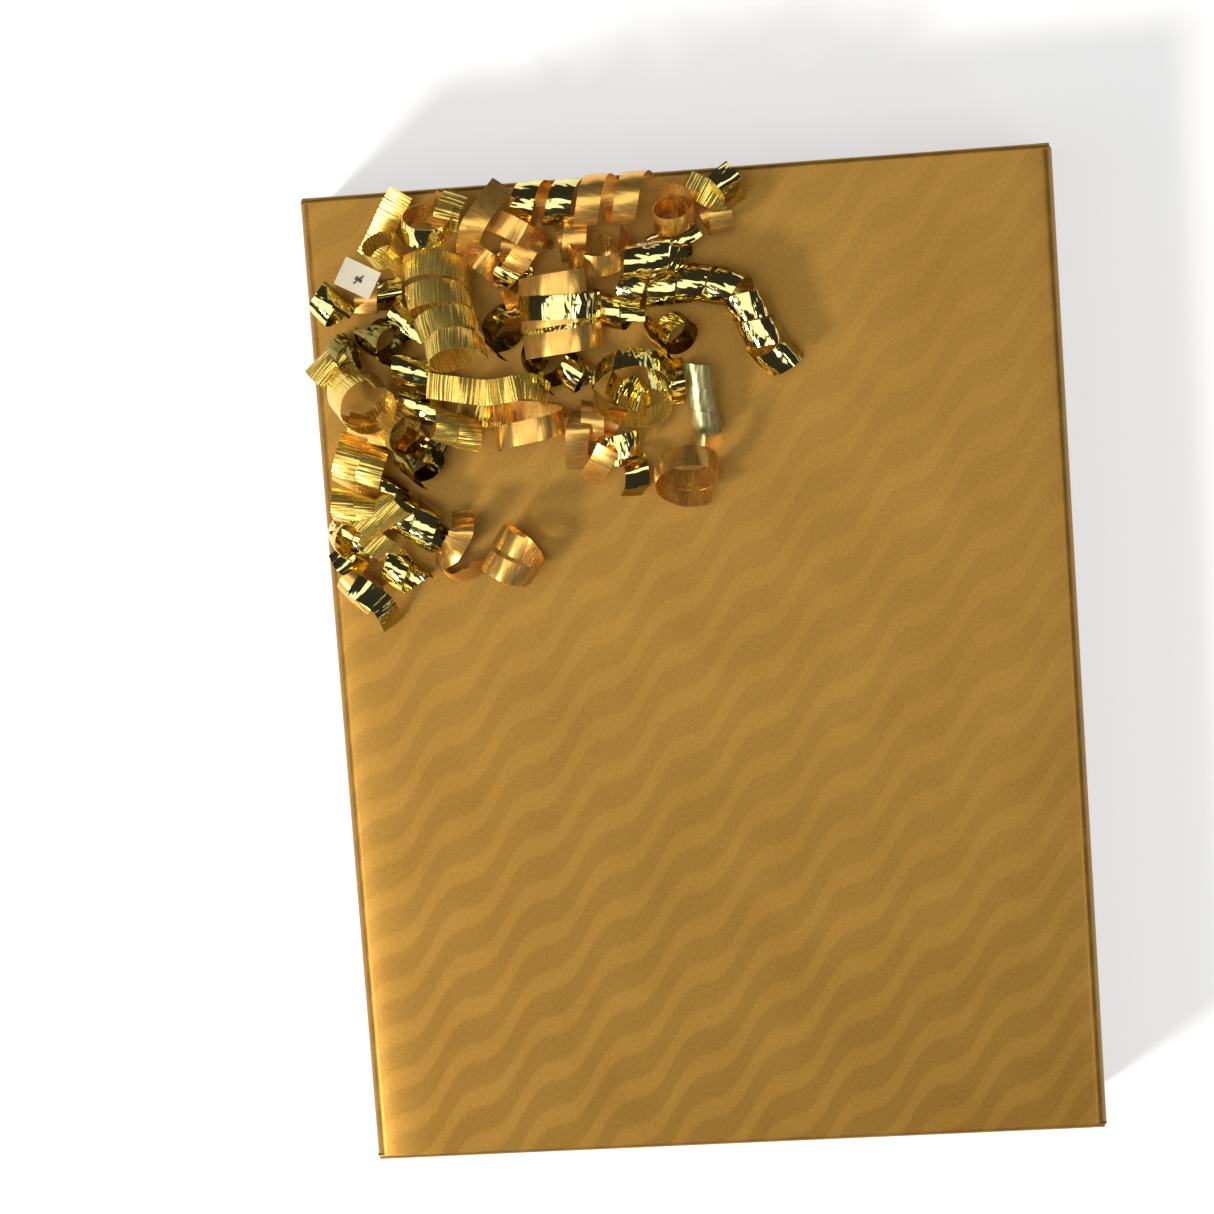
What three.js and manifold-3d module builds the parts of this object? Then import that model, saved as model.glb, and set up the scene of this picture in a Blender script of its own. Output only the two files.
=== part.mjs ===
// A flat gift box wrapped in metallic paper, with a spray of curled ribbon at one corner.
// Millimetres, +Z up. The parcel lies on its back: +X is the width of its face, +Y its
// height, and the origin is the middle of the underside. The face is at z = DEPTH.
import * as THREE from "three";
import Module from "manifold-3d";
import { mergeVertices } from "three/addons/utils/BufferGeometryUtils.js";

// ---------- driving dimensions ----------
const WIDTH = 208;            // over the paper, along X
const HEIGHT = 275;           // over the paper, along Y
const DEPTH = 41;             // over the paper, along Z
const PAPER = 0.25;           // wrapping paper
const GAP = 0.25;             // clearance between two layers of paper
const FOLD_RADIUS = 2.5;      // outside radius of the paper's long folds
const HINGE_REACH = 0.2;      // a flap's near edge stands this far from its fold line
const OUTER_FLAP_LENGTH = 32.8;
const INNER_FLAP_LENGTH = 17.2;
const TUCK_LENGTH = 18;
const ARC_SEGMENTS = 3;       // per eighth of a turn, in the rounded folds

const BOARD = 0.7;            // chipboard of the box
const BOX_CLEARANCE = 0.35;   // between the box and the paper
const LID_SLIP = 0.4;         // between the lid and the base, per side
const LID_SKIRT = 28;         // height of the lid's walls
const LID_EDGE_RADIUS = 2;    // soft fold along the lid's long edges
const TISSUE = 0.6;           // folded tissue on the floor of the base
const TISSUE_MARGIN = 2;      // between the tissue and the walls
const CUT_OVERRUN = 1;        // a hollow's cutter passes the open side by this much

const SEAM_OUTER_END = 36;    // x where the outer layer of the back seam ends
const SEAM_INNER_END = -20;   // x where the layer under it ends
const TAPE = 0.12;            // double-sided tape
const SEAM_TAPE_WIDTH = 12;
const FLAP_TAPE_WIDTH = 10;
const FLAP_TAPE_LENGTH = 50;
const FLAP_TAPE_INSET = 1;    // from the outer flap's free edge

const RIBBON = 0.3;           // thickness of a ribbon strand
const RIBBON_WIDTH = { foil: 6.6, peach: 6.4, crimp: 7, olive: 6.4 };
const STEPS_PER_TURN = 10;    // facets round one turn of a curl
const STEPS_PER_SPAN = 4;     // facets between two points of a loose strip
const STEEP_AXIS = 0.8;       // an axis this upright measures its start angle from +Y

const PAD_PLACE = [-65, 101]; // adhesive foam under the ribbon spray
const PAD_RADIUS = 7;
const PAD_THICKNESS = 1.2;
const PAD_SIDES = 24;
const KNOT_PROFILE = [[0, 0], [2.4, 0], [3.4, 1.2], [2.8, 3], [0, 3.8]];
const KNOT_SIDES = 12;
const CARD_SIZE = [10.5, 8.2, 0.4];
const CARD_PLACE = [-87, 114.5, 13];   // the last number is its height above the face
const CARD_TURN = -30;        // degrees about Z
const CARD_TILT = 12;         // degrees, the card's right-hand edge lower

// Heights in the two lists below are above the parcel's face, and the first word of a name is
// the ribbon's finish. A curl winds round its axis. Its start is where the first end lies, in
// degrees from the top, turning to the right-hand side of travel; hand -1 winds the other way.
const CURLS = [
  { name: "foil_loop_top_left", radius: 7, turns: 1.1, start: 140,
    axis: [[-66.5, 125.5, 14], [-65.5, 130, 18]] },
  { name: "crimp_loop_by_card", radius: 5.4, turns: 1.25, width: 6,
    axis: [[-78.5, 119, 7.5], [-80, 123.5, 13.5]] },
  { name: "foil_twist_top", radius: 4.4, turns: 1.3, start: -120, hand: -1,
    axis: [[-49.5, 115, 5], [-43, 111, 5]] },
  { name: "crimp_coil_large", radius: 9.2, endRadius: 8, turns: 3.45, start: 65, hand: -1,
    axis: [[-65.5, 115.5, 10], [-64.5, 106, 14], [-61.5, 97.5, 18], [-59.5, 90.5, 23]] },
  { name: "foil_helix_top", radius: 6.2, turns: 1.6, start: 80, hand: -1,
    axis: [[-42, 131.5, 8.5], [-25.5, 131, 9.5]] },
  { name: "peach_helix_top", radius: 7, turns: 1.6, start: 80, hand: -1,
    axis: [[-23.5, 131, 12.5], [-7, 131, 12.5]] },
  { name: "peach_ring_top_large", radius: 8.2, turns: 1.15, start: 90,
    axis: [[-21, 113.8, 9], [-20, 118.8, 12]] },
  { name: "peach_ring_top_right", radius: 5.6, turns: 1.35, start: 100,
    axis: [[0.5, 122.5, 8], [1, 128.5, 14]] },
  { name: "peach_curl_top_right", radius: 5.8, turns: 0.8, start: -70, hand: -1,
    axis: [[9, 124.5, 7], [13.5, 125.5, 7]] },
  { name: "foil_helix_right", radius: 5.2, endRadius: 5.4, turns: 6.6, width: 7.4, start: 90, hand: -1,
    axis: [[-13.5, 107, 7], [-6.5, 106, 8], [6.5, 106.5, 9], [17, 103, 10], [21, 95, 9],
      [24, 88, 8], [28, 83.5, 6]] },
  { name: "foil_bunch_centre", radius: 4.4, turns: 1.5, start: 90, hand: -1,
    axis: [[-10.5, 114, 18.5], [-2.5, 114.5, 18.5]] },
  { name: "peach_helix_centre", radius: 11.3, endRadius: 11, turns: 2.3, start: -45,
    axis: [[-31.5, 110, 12.5], [-32, 92, 12.5]] },
  { name: "peach_curl_zig", radius: 9.6, turns: 1.15, start: 60,
    axis: [[-43, 76.5, 10], [-43, 67, 10]] },
  { name: "foil_loop_centre", radius: 11, turns: 1.5, start: 150,
    axis: [[-13.5, 83.5, 10.5], [-13.5, 76, 17.5]] },
  { name: "olive_ring_centre", radius: 5.9, turns: 1.3,
    axis: [[-3.5, 95, 7], [0.5, 91.5, 12.5]] },
  { name: "foil_tube_right", radius: 4, turns: 3.2, start: 90, hand: -1,
    axis: [[4.5, 84, 12], [5, 74, 9], [6, 64, 5]] },
  { name: "peach_loop_right", radius: 8.8, turns: 1.3, start: 120,
    axis: [[-0.5, 58, 9], [-0.5, 52.5, 13]] },
  { name: "foil_band_under_loop", radius: 6.2, turns: 0.9, start: -110,
    axis: [[-19, 65, 7.5], [-19, 60, 7.5]] },
  { name: "foil_curl_left_of_loop", radius: 4.4, turns: 1.1, start: -60,
    axis: [[-31, 85.5, 5.5], [-27.5, 82, 5.5]] },
  { name: "crimp_ring_left", radius: 7.8, turns: 2,
    axis: [[-91, 83, 8], [-86.5, 79, 16.5]] },
  { name: "foil_curl_left_middle", radius: 4.5, turns: 1.7, start: -90,
    axis: [[-77, 79.5, 5.5], [-68.5, 76, 5.5]] },
  { name: "olive_ring_left", radius: 5.6, turns: 1.4,
    axis: [[-84, 98.5, 6.5], [-79, 95.5, 13]] },
  { name: "crimp_curl_middle", radius: 4.6, turns: 1.8, start: -90,
    axis: [[-68, 73.5, 16], [-58, 68.5, 9]] },
  { name: "crimp_coil_left", radius: 7, turns: 1.7, start: -90,
    axis: [[-95.5, 65, 8], [-85, 59.5, 8]] },
  { name: "olive_ring_lower", radius: 5.8, turns: 1.3,
    axis: [[-76, 64.5, 7], [-71.5, 61.5, 12.5]] },
  { name: "foil_tangle_lower", radius: 5.8, turns: 1.8, start: -90,
    axis: [[-81.5, 49.5, 7], [-71, 42.5, 7]] },
  { name: "crimp_curl_lower_left", radius: 4.4, turns: 1.4, start: -90,
    axis: [[-96.5, 52.5, 15], [-88, 49.5, 15]] },
  { name: "crimp_ring_lower_left", radius: 5.4, turns: 1.5,
    axis: [[-97, 43.5, 4], [-95, 42.5, 10]] },
  { name: "peach_curl_lower_right", radius: 7.6, turns: 1.2, start: -60,
    axis: [[-52, 31.5, 8.5], [-46.5, 39, 10]] },
  { name: "foil_end_lower", radius: 4.6, turns: 1.1, start: -90,
    axis: [[-85, 34.5, 6], [-78.5, 29, 6]] },
  { name: "peach_curl_lower_left", radius: 4.6, turns: 1.4, start: -90,
    axis: [[-97, 31.5, 5.5], [-92, 25.5, 5.5]] },
];

// A loose strip follows its path; across is the direction of its width along the way.
const STRIPS = [
  { name: "crimp_strip_top_left", across: [[0.9, -0.42, 0]],
    path: [[-74, 137, 7], [-77.5, 132, 5.5], [-82, 125, 2.5], [-85.5, 120, 1.2]] },
  { name: "peach_strip_top",
    across: [[0.85, -0.5, 0], [0.85, -0.5, 0], [1, -0.2, 0], [1, 0, 0], [1, 0, 0]],
    path: [[-44.5, 137, 17.5], [-49, 131.5, 21], [-53, 126, 22], [-55, 121.5, 18], [-56, 119, 13]] },
  { name: "peach_strip_right_of_top", across: [[0.5, 0.86, 0]],
    path: [[-49, 128, 15.5], [-44.5, 126, 17.5], [-40, 123, 16], [-37, 120.5, 11], [-36.5, 118, 5.5]] },
  { name: "foil_end_top_right", across: [[0.85, 0.5, 0]],
    path: [[13.5, 137, 12], [16.5, 133.5, 15], [18, 130, 10], [17, 127, 4]] },
  { name: "crimp_band_long", across: [[0, 1, 0]],
    path: [[-69.5, 84, 17], [-61, 82.5, 20], [-53.5, 81, 17], [-47, 81.5, 20], [-41.5, 82, 16],
      [-37, 79, 10]] },
  { name: "peach_strip_down", across: [[1, 0, 0]],
    path: [[-28.5, 74, 8], [-29.5, 69, 12], [-30.5, 63.5, 10], [-31, 57.5, 4]] },
  { name: "peach_strip_square", across: [[0.9, -0.45, 0]],
    path: [[-21, 63.5, 17], [-23.5, 59.5, 15], [-28, 54.5, 7]] },
  { name: "foil_tip_centre", across: [[0.9, 0.3, 0]],
    path: [[-15.5, 60, 5], [-14.5, 56.5, 7], [-15, 52, 5], [-17, 49, 2]] },
  { name: "foil_strip_by_card", across: [[1, 0.15, 0]],
    path: [[-79.5, 113.5, 6], [-79, 109.5, 9], [-80.5, 105, 4]] },
  { name: "peach_loop_lower",
    across: [[1, 0, 0], [1, 0, 0], [0.9, -0.4, 0], [0.5, -0.5, 0.7], [0, 0.4, 1], [0, 0.6, 1],
      [0, 0.6, 1]],
    path: [[-63.5, 48.5, 8], [-63.5, 43, 14], [-67.5, 37.5, 10], [-72, 33.5, 5], [-68.5, 29.5, 4],
      [-62.5, 31, 7], [-59.5, 34.5, 10]] },
  { name: "foil_tip_lower", across: [[0.7, 0.7, 0]],
    path: [[-95, 30.5, 14], [-91.5, 28, 15], [-88, 24.5, 12], [-86.5, 20.5, 8], [-86.5, 17, 3]] },
];

// ---------- places worked out from the dimensions above ----------
const LAYER = PAPER + GAP;
const SLEEVE_HALF_LENGTH = HEIGHT / 2 - 3 * LAYER;
const TUCK_Y = SLEEVE_HALF_LENGTH + GAP + PAPER / 2;
const INNER_FLAP_Y = TUCK_Y + LAYER;
const OUTER_FLAP_Y = INNER_FLAP_Y + LAYER;
const OUTER_FOLD_Z = DEPTH - PAPER / 2 - HINGE_REACH;
const INNER_FOLD_Z = PAPER / 2 + HINGE_REACH;
const LID_HALF_X = WIDTH / 2 - PAPER - BOX_CLEARANCE;
const LID_HALF_Y = SLEEVE_HALF_LENGTH - BOX_CLEARANCE;
const LID_TOP = DEPTH - PAPER - BOX_CLEARANCE;
const BASE_HALF_X = LID_HALF_X - BOARD - LID_SLIP;
const BASE_HALF_Y = LID_HALF_Y - BOARD - LID_SLIP;
const BASE_FLOOR = LAYER + PAPER + BOX_CLEARANCE;
const BASE_TOP = LID_TOP - BOARD - LID_SLIP;

// ---------- materials ----------
const material = (color, roughness, metalness) =>
  new THREE.MeshStandardMaterial({ color, roughness, metalness, side: THREE.DoubleSide });
const GOLD_PAPER = () => material(0xa87832, 0.42, 0.6);
const CHIPBOARD = () => material(0xb9a98c, 0.9, 0);
const TISSUE_PAPER = () => material(0xf4f0e6, 0.95, 0);
const CLEAR_TAPE = () => material(0xe8e2cc, 0.35, 0);
const CARD = () => material(0xd8cfae, 0.85, 0);
const FOAM = () => material(0xe6e2d6, 0.9, 0);
const RIBBON_FINISH = {
  foil: () => material(0xe6d27a, 0.08, 1),
  peach: () => material(0xdc9650, 0.3, 0.9),
  crimp: () => material(0xe8c460, 0.35, 0.9),
  olive: () => material(0x6e5a1e, 0.15, 1),
};

const wasm = await Module();
wasm.setup();
const parcel = new THREE.Group();

function add(name, geometry, finish, place = [0, 0, 0]) {
  const mesh = new THREE.Mesh(geometry, finish);
  mesh.name = name;
  mesh.position.set(...place);
  parcel.add(mesh);
  return mesh;
}

// ---------- solids ----------
function toSolid(geometry) {
  const bare = geometry.clone();
  bare.deleteAttribute("normal");
  bare.deleteAttribute("uv");
  const merged = mergeVertices(bare, 1e-4);
  return new wasm.Manifold(new wasm.Mesh({
    numProp: 3,
    vertProperties: new Float32Array(merged.attributes.position.array),
    triVerts: new Uint32Array(merged.index.array),
  }));
}

function toGeometry(solid) {
  const mesh = solid.getMesh();
  const geometry = new THREE.BufferGeometry();
  geometry.setAttribute("position", new THREE.BufferAttribute(mesh.vertProperties, 3));
  geometry.setIndex(new THREE.BufferAttribute(mesh.triVerts, 1));
  geometry.computeVertexNormals();
  return geometry;
}

const polygon = (points) => new THREE.Shape(points.map(([x, y]) => new THREE.Vector2(x, y)));

// A box from its lowest and highest corners.
function block(low, high) {
  const size = high.map((value, axis) => value - low[axis]);
  const geometry = new THREE.BoxGeometry(...size);
  return geometry.translate(...low.map((value, axis) => value + size[axis] / 2));
}

// A section drawn in X and Z, extruded along Y between -halfLength and +halfLength.
function alongY(shape, halfLength) {
  const geometry = new THREE.ExtrudeGeometry(shape, {
    depth: 2 * halfLength, bevelEnabled: false, curveSegments: ARC_SEGMENTS,
  });
  return geometry.rotateX(Math.PI / 2).translate(0, halfLength, 0);
}

// ---------- the box inside ----------
function lidGeometry() {
  const skirtEnd = LID_TOP - LID_SKIRT;
  const cx = LID_HALF_X - LID_EDGE_RADIUS;
  const cz = LID_TOP - LID_EDGE_RADIUS;
  const section = new THREE.Shape();
  section.moveTo(-LID_HALF_X, skirtEnd);
  section.lineTo(LID_HALF_X, skirtEnd);
  section.absarc(cx, cz, LID_EDGE_RADIUS, 0, Math.PI / 2);
  section.absarc(-cx, cz, LID_EDGE_RADIUS, Math.PI / 2, Math.PI);
  const outside = toSolid(alongY(section, LID_HALF_Y));
  const inside = toSolid(block(
    [-LID_HALF_X + BOARD, -LID_HALF_Y + BOARD, skirtEnd - CUT_OVERRUN],
    [LID_HALF_X - BOARD, LID_HALF_Y - BOARD, LID_TOP - BOARD],
  ));
  return toGeometry(outside.subtract(inside));
}

function baseGeometry() {
  const outside = toSolid(block(
    [-BASE_HALF_X, -BASE_HALF_Y, BASE_FLOOR],
    [BASE_HALF_X, BASE_HALF_Y, BASE_TOP],
  ));
  const inside = toSolid(block(
    [-BASE_HALF_X + BOARD, -BASE_HALF_Y + BOARD, BASE_FLOOR + BOARD],
    [BASE_HALF_X - BOARD, BASE_HALF_Y - BOARD, BASE_TOP + CUT_OVERRUN],
  ));
  return toGeometry(outside.subtract(inside));
}

function tissueGeometry() {
  const margin = BOARD + TISSUE_MARGIN;
  const bottom = BASE_FLOOR + BOARD + GAP;
  return block(
    [-BASE_HALF_X + margin, -BASE_HALF_Y + margin, bottom],
    [BASE_HALF_X - margin, BASE_HALF_Y - margin, bottom + TISSUE],
  );
}

function addBox() {
  add("box_base", baseGeometry(), CHIPBOARD());
  add("box_lid", lidGeometry(), CHIPBOARD());
  add("tissue_sheet", tissueGeometry(), TISSUE_PAPER());
}

// ---------- the paper ----------
// The line of the sheet round the box, `inset` below its outer side: from the end hidden under
// the back seam, anticlockwise over the face, to the end that laps over it.
function sleeveLine(inset) {
  const radius = FOLD_RADIUS - inset;
  const cx = WIDTH / 2 - FOLD_RADIUS;
  const top = DEPTH - FOLD_RADIUS;
  const line = new THREE.Path();
  line.moveTo(SEAM_INNER_END, LAYER + inset);
  line.lineTo(cx, LAYER + inset);
  line.absarc(cx, LAYER + FOLD_RADIUS, radius, -Math.PI / 2, 0);
  line.absarc(cx, top, radius, 0, Math.PI / 2);
  line.absarc(-cx, top, radius, Math.PI / 2, Math.PI);
  line.absarc(-cx, FOLD_RADIUS, radius, Math.PI, 1.5 * Math.PI);
  line.lineTo(SEAM_OUTER_END, inset);
  return line.getPoints(ARC_SEGMENTS);
}

function sleeveGeometry() {
  const section = new THREE.Shape([...sleeveLine(0), ...sleeveLine(PAPER).reverse()]);
  return alongY(section, SLEEVE_HALF_LENGTH);
}

// A flap standing across an end of the parcel. It is drawn in X and Z with 45-degree sides,
// wide at its fold line and reaching `length` towards the other edge.
function endFlapGeometry(foldZ, length, y) {
  const direction = foldZ > DEPTH / 2 ? -1 : 1;
  const nearHalf = WIDTH / 2 - 2 * HINGE_REACH - PAPER;
  const near = foldZ + direction * HINGE_REACH;
  const far = foldZ + direction * length;
  const outline = [
    [-nearHalf, near], [nearHalf, near], [nearHalf - length, far], [-nearHalf + length, far],
  ];
  return alongY(polygon(outline), PAPER / 2).translate(0, y, 0);
}

// A tuck folded in from one side of the parcel, under both flaps.
function sideTuckGeometry(side, y) {
  const near = side * (WIDTH / 2 - PAPER - HINGE_REACH);
  const far = near - side * TUCK_LENGTH;
  const low = LAYER + PAPER + HINGE_REACH;
  const high = DEPTH - PAPER - HINGE_REACH;
  const outline = [[near, low], [near, high], [far, high - TUCK_LENGTH], [far, low + TUCK_LENGTH]];
  return alongY(polygon(outline), PAPER / 2).translate(0, y, 0);
}

function addSeamTape() {
  const middle = (SEAM_OUTER_END + SEAM_INNER_END) / 2;
  const bottom = PAPER + (GAP - TAPE) / 2;
  add("seam_tape", block(
    [middle - SEAM_TAPE_WIDTH / 2, -SLEEVE_HALF_LENGTH + SEAM_TAPE_WIDTH, bottom],
    [middle + SEAM_TAPE_WIDTH / 2, SLEEVE_HALF_LENGTH - SEAM_TAPE_WIDTH, bottom + TAPE],
  ), CLEAR_TAPE());
}

// The strip of tape on the inner side of an outer flap, near its free edge.
function flapTapeGeometry(sign) {
  const y = sign * (OUTER_FLAP_Y - PAPER / 2 - GAP / 2);
  const bottom = OUTER_FOLD_Z - OUTER_FLAP_LENGTH + FLAP_TAPE_INSET;
  return block(
    [-FLAP_TAPE_LENGTH / 2, y - TAPE / 2, bottom],
    [FLAP_TAPE_LENGTH / 2, y + TAPE / 2, bottom + FLAP_TAPE_WIDTH],
  );
}

function addWrap() {
  add("wrap_sleeve", sleeveGeometry(), GOLD_PAPER());
  addSeamTape();
  for (const [end, sign] of [["head", 1], ["foot", -1]]) {
    const outer = endFlapGeometry(OUTER_FOLD_Z, OUTER_FLAP_LENGTH, sign * OUTER_FLAP_Y);
    const inner = endFlapGeometry(INNER_FOLD_Z, INNER_FLAP_LENGTH, sign * INNER_FLAP_Y);
    add(`${end}_outer_flap`, outer, GOLD_PAPER());
    add(`${end}_inner_flap`, inner, GOLD_PAPER());
    add(`${end}_left_tuck`, sideTuckGeometry(-1, sign * TUCK_Y), GOLD_PAPER());
    add(`${end}_right_tuck`, sideTuckGeometry(1, sign * TUCK_Y), GOLD_PAPER());
    add(`${end}_flap_tape`, flapTapeGeometry(sign), CLEAR_TAPE());
  }
}

// ---------- the ribbon spray ----------
// Points along a line through the given places, evenly spaced.
function spine(places, steps) {
  const points = places.map(([x, y, height]) => new THREE.Vector3(x, y, DEPTH + height));
  const line = points.length === 2 ? new THREE.LineCurve3(...points) : new THREE.CatmullRomCurve3(points);
  return line.getSpacedPoints(steps);
}

// The direction of travel at each point of a line of points.
function tangents(points) {
  return points.map((point, i) => {
    const before = points[Math.max(i - 1, 0)];
    const after = points[Math.min(i + 1, points.length - 1)];
    return after.clone().sub(before).normalize();
  });
}

// `vector` without its part along `direction`, as a unit vector.
const square = (vector, direction) =>
  vector.clone().addScaledVector(direction, -vector.dot(direction)).normalize();

// A strip of rectangular section, from its centre line and the normal of its face at each point.
// Its two broad faces are split along the same diagonal, so that it keeps its thickness.
function ribbonGeometry(centres, normals, width) {
  const along = tangents(centres);
  const position = [];
  centres.forEach((centre, i) => {
    const across = normals[i].clone().cross(along[i]).normalize();
    for (const [side, face] of [[-1, -1], [1, -1], [1, 1], [-1, 1]]) {
      const corner = centre.clone()
        .addScaledVector(across, (side * width) / 2)
        .addScaledVector(normals[i], (face * RIBBON) / 2);
      position.push(...corner.toArray());
    }
  });
  const last = (centres.length - 1) * 4;
  const index = [0, 2, 1, 0, 3, 2, last, last + 1, last + 2, last, last + 2, last + 3];
  for (let ring = 0; ring < last; ring += 4) {
    for (let edge = 0; edge < 4; edge++) {
      const a = ring + edge;
      const b = ring + ((edge + 1) % 4);
      const outerFace = edge === 2;
      index.push(...(outerFace ? [a, b, a + 4, b, b + 4, a + 4] : [a, b, b + 4, a, b + 4, a + 4]));
    }
  }
  const geometry = new THREE.BufferGeometry();
  geometry.setAttribute("position", new THREE.Float32BufferAttribute(position, 3));
  geometry.setIndex(index);
  geometry.computeVertexNormals();
  return geometry;
}

function curlGeometry({ axis, radius, endRadius = radius, turns, start = 0, hand = 1, width }) {
  const steps = Math.ceil(turns * STEPS_PER_TURN);
  const axisPoints = spine(axis, steps);
  const radials = tangents(axisPoints).map((direction, i) => {
    const upright = Math.abs(direction.z) > STEEP_AXIS;
    const top = square(upright ? new THREE.Vector3(0, 1, 0) : new THREE.Vector3(0, 0, 1), direction);
    const right = direction.clone().cross(top);
    const angle = THREE.MathUtils.degToRad(start + (hand * 360 * turns * i) / steps);
    return top.multiplyScalar(Math.cos(angle)).addScaledVector(right, Math.sin(angle));
  });
  const centres = axisPoints.map((point, i) =>
    point.clone().addScaledVector(radials[i], THREE.MathUtils.lerp(radius, endRadius, i / steps)));
  return ribbonGeometry(centres, radials, width);
}

function stripGeometry({ path, across, width }) {
  const steps = (path.length - 1) * STEPS_PER_SPAN;
  const centres = spine(path, steps);
  const sides = across.map((side) => new THREE.Vector3(...side));
  const normals = tangents(centres).map((direction, i) => {
    const place = ((sides.length - 1) * i) / steps;
    const from = Math.floor(place);
    const to = Math.min(from + 1, sides.length - 1);
    const side = square(sides[from].clone().lerp(sides[to], place - from), direction);
    return direction.clone().cross(side);
  });
  return ribbonGeometry(centres, normals, width);
}

function addRibbons() {
  const addStrand = (strand, shape) => {
    const finish = strand.name.split("_")[0];
    add(strand.name, shape({ width: RIBBON_WIDTH[finish], ...strand }), RIBBON_FINISH[finish]());
  };
  CURLS.forEach((curl) => addStrand(curl, curlGeometry));
  STRIPS.forEach((strip) => addStrand(strip, stripGeometry));
}

// The foam pad on the paper, the knot that ties the strands, and the small card.
function addSprayFixings() {
  const pad = new THREE.CylinderGeometry(PAD_RADIUS, PAD_RADIUS, PAD_THICKNESS, PAD_SIDES);
  const padBottom = DEPTH + GAP;
  add("bow_pad", pad.rotateX(Math.PI / 2), FOAM(), [...PAD_PLACE, padBottom + PAD_THICKNESS / 2]);
  const profile = KNOT_PROFILE.map(([radius, height]) => new THREE.Vector2(radius, height));
  const knot = new THREE.LatheGeometry(profile, KNOT_SIDES).rotateX(Math.PI / 2);
  add("bow_knot", knot, RIBBON_FINISH.foil(), [...PAD_PLACE, padBottom + PAD_THICKNESS + GAP]);
  const [x, y, height] = CARD_PLACE;
  const card = add("bow_card", new THREE.BoxGeometry(...CARD_SIZE), CARD(), [x, y, DEPTH + height]);
  const [tilt, turn] = [CARD_TILT, CARD_TURN].map(THREE.MathUtils.degToRad);
  card.rotation.set(0, tilt, turn, "ZYX");
}

addBox();
addWrap();
addRibbons();
addSprayFixings();

export default parcel;
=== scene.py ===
"""Looks of the gift-wrapped box: the paper and its folds, the ribbon spray, light and camera.
Sizes and the lists of strands are in millimetres, as in the CAD; MM turns them into metres."""
import math

import bpy
import numpy as np
from mathutils import Matrix, Vector


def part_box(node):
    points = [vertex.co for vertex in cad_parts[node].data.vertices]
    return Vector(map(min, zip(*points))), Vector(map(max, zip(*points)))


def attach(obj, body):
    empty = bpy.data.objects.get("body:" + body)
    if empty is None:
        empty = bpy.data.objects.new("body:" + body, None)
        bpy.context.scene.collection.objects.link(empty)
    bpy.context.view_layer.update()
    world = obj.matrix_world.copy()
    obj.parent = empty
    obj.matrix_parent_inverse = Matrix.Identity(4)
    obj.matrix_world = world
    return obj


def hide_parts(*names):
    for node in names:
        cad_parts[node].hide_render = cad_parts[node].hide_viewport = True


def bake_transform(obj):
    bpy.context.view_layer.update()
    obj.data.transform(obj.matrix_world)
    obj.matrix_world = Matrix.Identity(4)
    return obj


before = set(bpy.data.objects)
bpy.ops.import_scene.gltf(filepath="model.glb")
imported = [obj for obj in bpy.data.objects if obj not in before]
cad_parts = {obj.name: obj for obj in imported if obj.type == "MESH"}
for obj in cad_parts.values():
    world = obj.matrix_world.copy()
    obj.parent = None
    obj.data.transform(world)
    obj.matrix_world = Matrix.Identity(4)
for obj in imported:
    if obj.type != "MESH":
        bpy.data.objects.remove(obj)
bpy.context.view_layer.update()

MM = 0.001
WIDTH, DEPTH = 208, 41
PAPER = 0.25                 # thickness of the paper in the CAD, and of these sheets
LAYER = 0.5                  # one layer of paper and the gap under it
SLEEVE_END = 136             # |y| where the sleeve ends and the end folds start
TUCK_Y, INNER_FLAP_Y, OUTER_FLAP_Y = 136.375, 136.875, 137.375
FOLD_RADIUS = 3.1            # outside radius of the long folds
OUTER_FLAP_LENGTH, INNER_FLAP_LENGTH, TUCK_LENGTH = 32.8, 17.2, 26
OUTER_FOLD_Z, INNER_FOLD_Z = 40.675, 0.325
FLAP_HALF_WIDTH = 103.35     # at the fold line
CORNER_FADE = 1.5            # length over which a flap leaves the round of the sleeve's corners
SEAM_OUTER_END, SEAM_INNER_END = 36, -20
TUCK_GAP = 0.3               # between a side tuck and the sheet above or below it
PAPER_STEP = 4               # spacing of the paper's mesh on its flat faces
FOLD_STEPS = 12              # segments round each fold
FLAP_COLUMNS, TUCK_COLUMNS = 53, 12
SWELL = 0.05                 # height of the slight waves in the face
SWELL_END_FADE, SWELL_SIDE_FADE = 25, 20   # how far in from the edges they reach full height

RIBBON = 0.12                # thickness of a strand
RIBBON_WIDTH = dict(foil=6.6, peach=6.4, crimp=7, olive=6.4)
ROW_STEP = dict(foil=0.5, peach=0.5, crimp=0.16, olive=0.5)   # spacing of a strand's rows
RIBBON_COLUMNS = 7
FOIL_LEAN, OTHER_LEAN, LEAN_STEP = 2.5, 1.5, 9   # degrees that a strand rocks, and how often
HOLLOW = 0.018               # how hollow a strand is: depth per square mm from its middle
WANDER, WANDER_STEP = 0.07, 5          # height and spacing of a strand's dents
RIDGE, RIDGE_STEP = 0.09, 0.95         # and of the ridges of a crimped one

KNOT_TURNS, KNOT_SHRINK = 2.1, 0.16
KNOT_HALF_WIDTH, KNOT_SLANT, KNOT_HOLLOW = 2.2, 0.7, 0.03
KNOT_INSET = (0.3, 0.25)     # of the wound strand from the CAD knot's sides and top

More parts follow.
